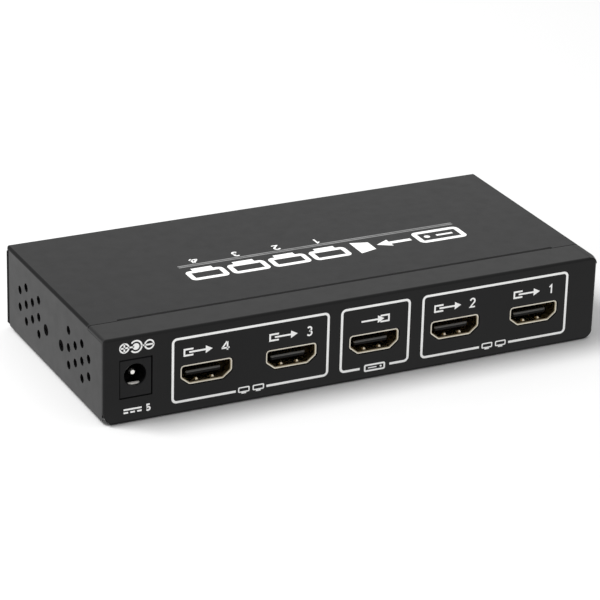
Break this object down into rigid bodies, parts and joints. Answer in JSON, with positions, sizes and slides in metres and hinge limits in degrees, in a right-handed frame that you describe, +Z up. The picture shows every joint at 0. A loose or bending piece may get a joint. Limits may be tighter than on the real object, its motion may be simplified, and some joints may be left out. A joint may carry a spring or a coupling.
{
  "type": "hdmi splitter",
  "caption": "Flat black folded-steel box with a round power inlet and a row of digital video sockets in one long side, vents in both ends and status lamps behind.",
  "frame": {"origin": "centre of the underside, on the surface that the box stands on", "axes": "+X along the row of sockets, to the right seen from the connector side; +Y from the connector side to the lamp side; +Z up"},
  "size_m": [0.15, 0.071, 0.025],
  "materials": {
    "case_coat": "black satin powder coat on folded steel",
    "black_screw_steel": "black oxide, satin",
    "zinc_plated_steel": "zinc plated",
    "nickel_screw_steel": "nickel plated, satin",
    "board_laminate": "green solder mask",
    "shell_plating": "pale tin and nickel plating, satin",
    "insulator_plastic": "black moulded, matte",
    "contact_gold": "gold flash, satin",
    "jack_plastic": "black moulded, matte",
    "jack_nickel": "nickel plated, bright",
    "lamp_red": "red diffused, glossy",
    "lamp_green": "green diffused, glossy",
    "tinned_lead": "tinned, satin",
    "chip_plastic": "black moulded epoxy, matte",
    "pad_silicone": "grey silicone, matte",
    "sink_aluminium": "plain extruded aluminium",
    "ferrite": "sintered ferrite, matte",
    "capacitor_can": "drawn aluminium can, satin",
    "crystal_can": "nickel plated can, satin",
    "ceramic_body": "tan fired ceramic, matte",
    "resistor_body": "black glazed film, matte"
  },
  "bodies": {
    "root": {"base_tray": "case_coat", "top_cover": "case_coat", "cover_screws": "black_screw_steel", "board_standoffs": "zinc_plated_steel", "board_screws": "nickel_screw_steel", "circuit_board": "board_laminate", "output_4_socket_shell": "shell_plating", "output_4_socket_insulator": "insulator_plastic", "output_4_socket_contacts": "contact_gold", "output_3_socket_shell": "shell_plating", "output_3_socket_insulator": "insulator_plastic", "output_3_socket_contacts": "contact_gold", "input_socket_shell": "shell_plating", "input_socket_insulator": "insulator_plastic", "input_socket_contacts": "contact_gold", "output_2_socket_shell": "shell_plating", "output_2_socket_insulator": "insulator_plastic", "output_2_socket_contacts": "contact_gold", "output_1_socket_shell": "shell_plating", "output_1_socket_insulator": "insulator_plastic", "output_1_socket_contacts": "contact_gold", "power_jack_housing": "jack_plastic", "power_jack_pin": "jack_nickel", "power_jack_spring": "jack_nickel", "power_jack_switch_contact": "jack_nickel", "output_4_lamp": "lamp_green", "output_3_lamp": "lamp_green", "output_2_lamp": "lamp_green", "output_1_lamp": "lamp_green", "input_lamp": "lamp_green", "power_lamp": "lamp_red", "lamp_leads": "tinned_lead", "splitter_chip": "chip_plastic", "thermal_pad": "pad_silicone", "heat_sink": "sink_aluminium", "memory_chip": "chip_plastic", "line_protection_chips": "chip_plastic", "voltage_regulator": "chip_plastic", "power_inductor": "ferrite", "electrolytic_capacitors": "capacitor_can", "crystal": "crystal_can", "ceramic_capacitors": "ceramic_body", "chip_resistors": "resistor_body"}
  },
  "joints": []
}
